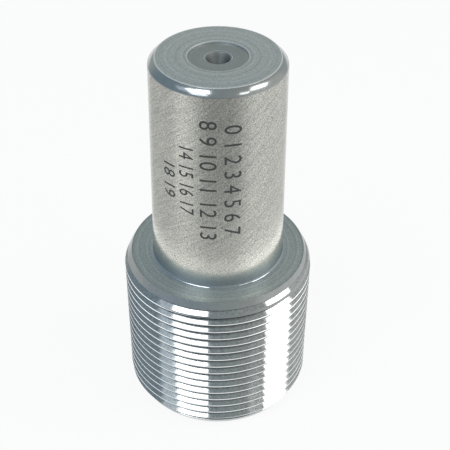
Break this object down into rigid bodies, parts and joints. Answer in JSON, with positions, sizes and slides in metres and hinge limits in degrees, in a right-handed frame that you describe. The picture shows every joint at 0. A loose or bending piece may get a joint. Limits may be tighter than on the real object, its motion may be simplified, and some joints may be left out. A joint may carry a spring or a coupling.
{
  "type": "thread plug gauge",
  "caption": "Steel thread plug gauge member: a right-hand metric threaded head with bevelled ends, a shoulder and a plain tapered shank, with a lathe centre in each end.",
  "frame": {"origin": "centre of the flat end face of the threaded head, on the part's axis", "axes": "+Z along the axis from the threaded head to the shank's end; X and Y square to it"},
  "size_m": [0.03, 0.03, 0.0608],
  "materials": {
    "gauge_steel": "ground and lapped"
  },
  "bodies": {
    "root": {"gauge_member": "gauge_steel"}
  },
  "joints": []
}
